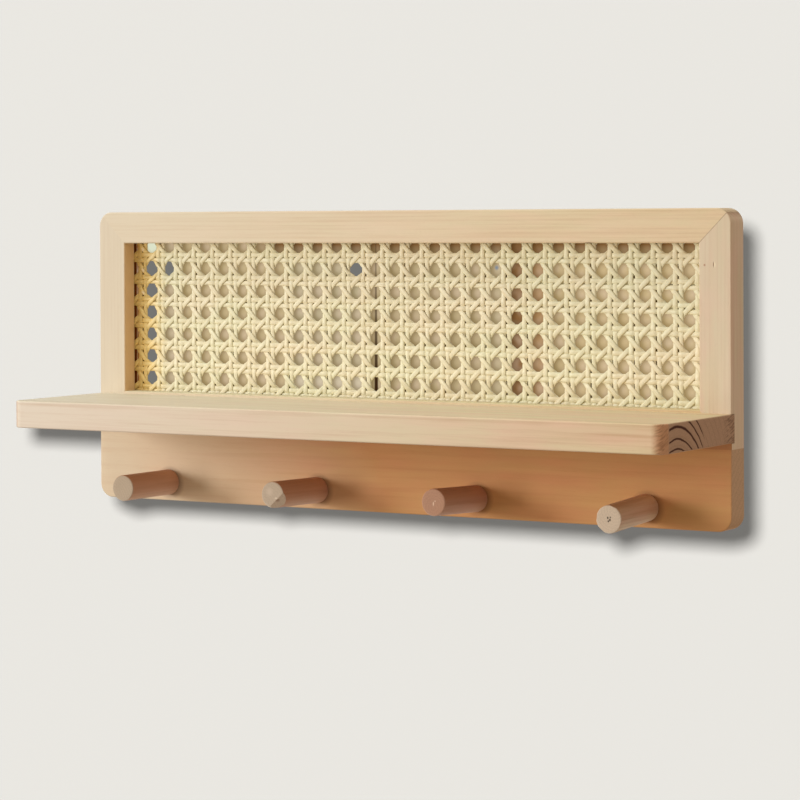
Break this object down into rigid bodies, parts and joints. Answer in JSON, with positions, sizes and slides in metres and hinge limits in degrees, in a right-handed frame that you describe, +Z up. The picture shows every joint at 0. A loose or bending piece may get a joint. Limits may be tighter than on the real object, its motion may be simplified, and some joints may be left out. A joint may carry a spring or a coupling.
{
  "type": "wall shelf with hooks",
  "caption": "Wall shelf in pale wood: a mitred frame with a woven cane panel, a shelf board across its lower edge and a board of round pegs underneath.",
  "frame": {"origin": "middle of the peg board's back face, on the wall plane", "axes": "+Z up, +X to the right for someone who faces the shelf, +Y into the wall, so the front faces -Y"},
  "size_m": [0.4, 0.097, 0.1656],
  "materials": {
    "pine": "satin",
    "peg_wood": "satin",
    "bead_wood": "satin",
    "cane": "satin",
    "zinc_steel": "satin"
  },
  "bodies": {
    "root": {"bead_bottom": "bead_wood", "bead_left": "bead_wood", "bead_right": "bead_wood", "bead_top": "bead_wood", "board_tongue": "bead_wood", "bottom_rail": "pine", "cane_panel": "cane", "hanger_left": "zinc_steel", "hanger_right": "zinc_steel", "left_stile": "pine", "mitre_tongues": "bead_wood", "peg_1": "peg_wood", "peg_2": "peg_wood", "peg_3": "peg_wood", "peg_4": "peg_wood", "peg_board": "pine", "right_stile": "pine", "shelf_board": "pine", "shelf_screws": "zinc_steel", "top_rail": "pine"}
  },
  "joints": []
}
